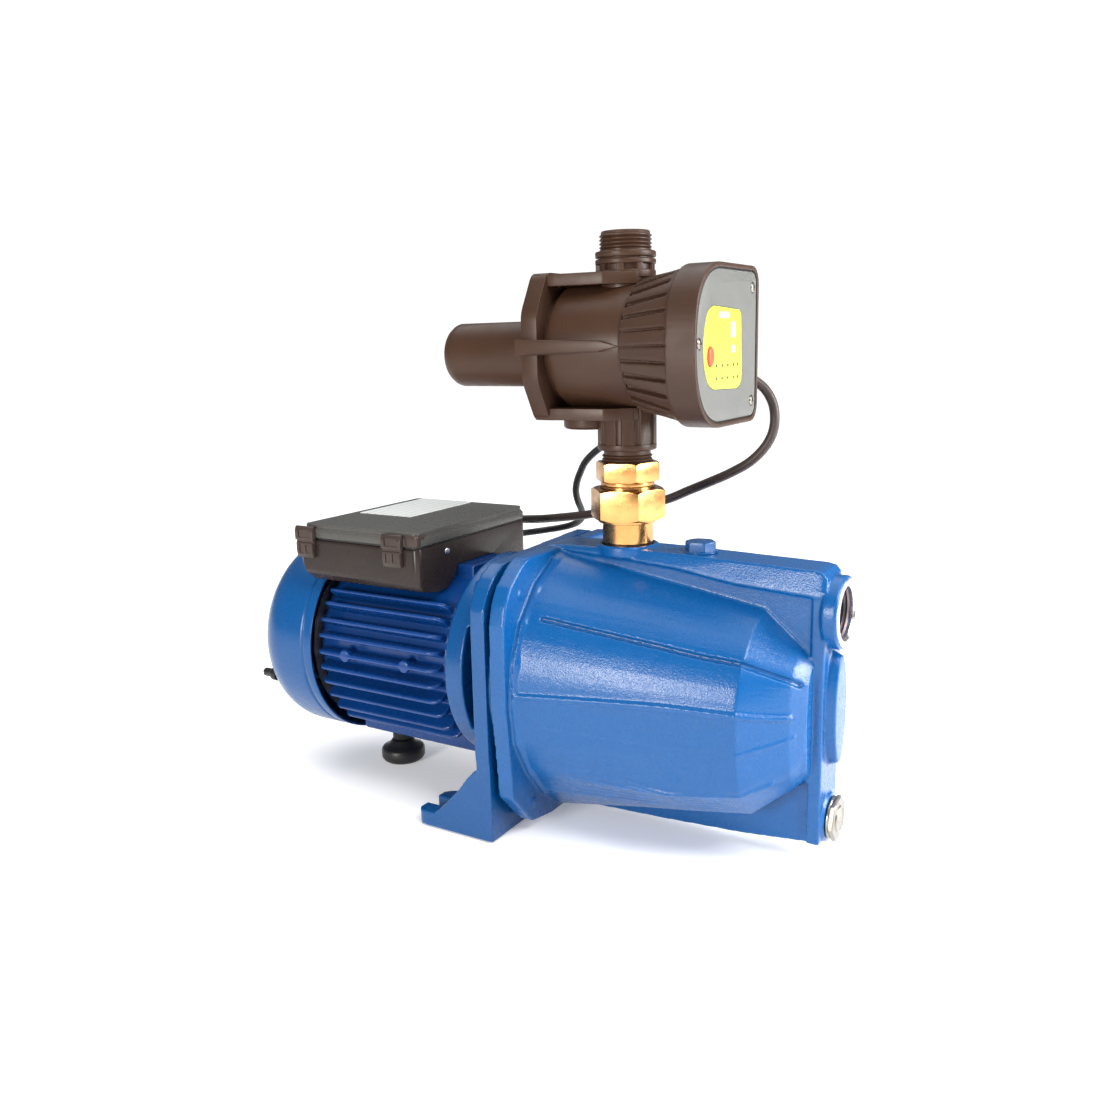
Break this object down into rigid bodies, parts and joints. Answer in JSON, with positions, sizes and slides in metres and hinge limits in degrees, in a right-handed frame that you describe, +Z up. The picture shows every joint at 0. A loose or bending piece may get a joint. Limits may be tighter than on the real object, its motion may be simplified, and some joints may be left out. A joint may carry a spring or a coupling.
{
  "type": "shallow well jet pump",
  "caption": "Self-priming jet pump: finned motor, cast pump casing with front suction port, brass outlet union and a pressure controller on top.",
  "frame": {"origin": "on the underside of the mounting foot, straight below the shaft axis", "axes": "+X along the shaft from the motor to the suction port, +Z up, +Y towards the side with the leads"},
  "size_m": [0.4343, 0.2168, 0.3885],
  "materials": {
    "casing_enamel": "glossy enamel over rough cast iron",
    "motor_enamel": "satin navy enamel",
    "steel": "satin",
    "nickel": "dull plated",
    "motor_iron": "machined",
    "aluminium": "cast",
    "copper": "varnished",
    "brass": "polished",
    "rubber": "matte",
    "ceramic": "smooth",
    "white_plastic": "matte",
    "label": "printed film, blank",
    "box_plastic": "semi-gloss",
    "lid_plastic": "semi-gloss",
    "clip_plastic": "smoky",
    "controller_plastic": "semi-gloss",
    "panel_plastic": "fine texture",
    "yellow_film": "printed film, blank",
    "red_rubber": "smooth",
    "green_board": "solder mask",
    "cable_rubber": "matte"
  },
  "bodies": {
    "pump": {"pump_casing": "casing_enamel", "motor_bracket": "casing_enamel", "fan_cover": "casing_enamel", "motor_housing": "motor_enamel", "casing_o_ring": "rubber", "casing_bolt_1": "steel", "casing_bolt_2": "steel", "casing_bolt_3": "steel", "casing_bolt_4": "steel", "diffuser": "white_plastic", "venturi_tube": "white_plastic", "ejector_nozzle": "brass", "shaft_seal_seat": "ceramic", "stator_core": "motor_iron", "stator_winding": "copper", "front_bearing": "steel", "rear_bearing": "steel", "rear_end_shield": "aluminium", "fan_cover_screw_1": "rubber", "fan_cover_screw_2": "rubber", "support_foot_pad": "rubber", "support_foot_bolt": "rubber", "terminal_box_base": "box_plastic", "lid_gasket": "rubber", "run_capacitor": "white_plastic", "terminal_block": "white_plastic", "box_gland_a": "cable_rubber", "box_gland_b": "cable_rubber", "union_tail": "brass", "union_end": "brass", "controller_body": "controller_plastic", "controller_front_housing": "controller_plastic", "controller_panel": "panel_plastic", "panel_label": "yellow_film", "panel_screw_1": "nickel", "panel_screw_2": "nickel", "panel_screw_3": "nickel", "flow_valve_spring": "steel", "circuit_board": "green_board", "controller_gland_a": "cable_rubber", "controller_gland_b": "cable_rubber", "cable_a": "cable_rubber", "cable_b": "cable_rubber"},
    "rotor": {"motor_shaft": "steel", "rotor_core": "motor_iron", "cooling_fan": "white_plastic", "impeller": "brass", "impeller_nut": "steel", "shaft_seal_head": "rubber", "shaft_seal_spring": "steel"},
    "box_lid": {"terminal_box_lid": "lid_plastic", "rating_label": "label"},
    "clip_1": {"lid_clip_1": "clip_plastic"},
    "clip_2": {"lid_clip_2": "clip_plastic"},
    "priming_plug": {"priming_plug": "brass"},
    "drain_plug": {"drain_plug": "nickel"},
    "union_nut": {"union_nut": "brass"},
    "restart_button": {"restart_button": "red_rubber"},
    "flow_valve": {"flow_valve": "white_plastic"}
  },
  "joints": [
    {"name": "rotor_spin", "type": "hinge", "parent": "pump", "child": "rotor", "pos_m": [0, 0, 0.1035], "axis": [1, 0, 0], "continuous": true},
    {"name": "restart_button_press", "type": "slide", "parent": "pump", "child": "restart_button", "axis": [-1, 0, 0], "range_m": [0, 0.002], "stiffness_N_per_m": 300, "springref_m": -0.001},
    {"name": "flow_valve_lift", "type": "slide", "parent": "pump", "child": "flow_valve", "axis": [0, 0, 1], "range_m": [0, 0.007], "stiffness_N_per_m": 60, "springref_m": -0.004, "deforming": ["flow_valve_spring"]},
    {"name": "box_lid_lift", "type": "slide", "parent": "pump", "child": "box_lid", "axis": [0, 0, 1], "range_m": [0, 0.06]},
    {"name": "clip_1_swing", "type": "hinge", "parent": "pump", "child": "clip_1", "pos_m": [-0.1345, -0.0685, 0.175], "axis": [1, 0, 0], "range_deg": [0, 50]},
    {"name": "clip_2_swing", "type": "hinge", "parent": "pump", "child": "clip_2", "pos_m": [-0.0545, -0.0685, 0.175], "axis": [1, 0, 0], "range_deg": [0, 50]},
    {"name": "priming_plug_lift", "type": "slide", "parent": "pump", "child": "priming_plug", "axis": [0, 0, 1], "range_m": [0, 0.03]},
    {"name": "drain_plug_draw", "type": "slide", "parent": "pump", "child": "drain_plug", "axis": [1, 0, 0], "range_m": [0, 0.03]},
    {"name": "union_nut_turn", "type": "hinge", "parent": "pump", "child": "union_nut", "pos_m": [0.0895, 0, 0.218], "axis": [0, 0, 1], "continuous": true}
  ]
}
